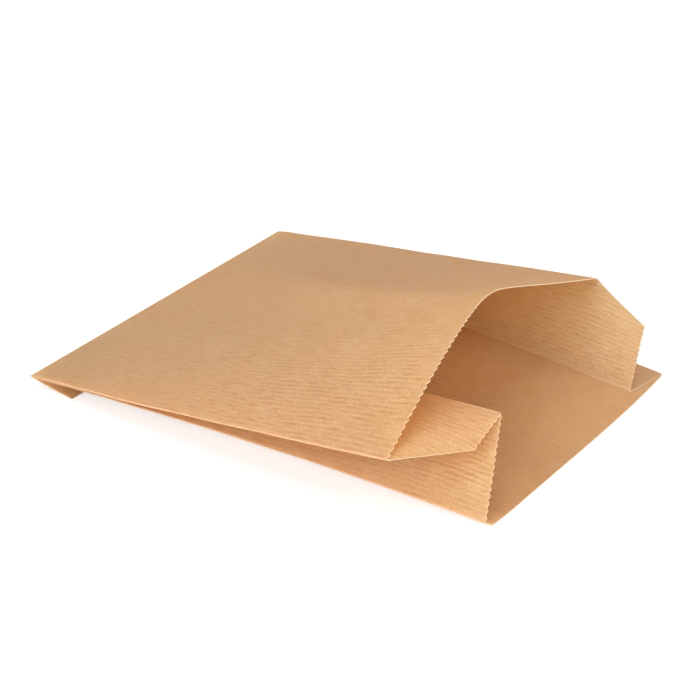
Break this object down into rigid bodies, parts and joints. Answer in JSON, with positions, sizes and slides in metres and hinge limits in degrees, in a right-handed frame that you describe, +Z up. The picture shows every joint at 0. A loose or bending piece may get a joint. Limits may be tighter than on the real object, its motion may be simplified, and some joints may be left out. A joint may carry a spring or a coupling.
{
  "type": "paper lunch bag",
  "caption": "Flat kraft paper bag with side gussets, lying half open, with a serrated mouth and a closed end turned under as a glued strip.",
  "frame": {"origin": "middle of the bag's box, on the surface it lies on", "axes": "+X from the closed end towards the open mouth, +Y across the bag towards the folded-flat gusset, +Z up"},
  "size_m": [0.1772, 0.1586, 0.0496],
  "materials": {
    "paper_bag": "uncoated ribbed kraft, matte"
  },
  "bodies": {
    "root": {"paper_bag": "paper_bag"}
  },
  "joints": []
}
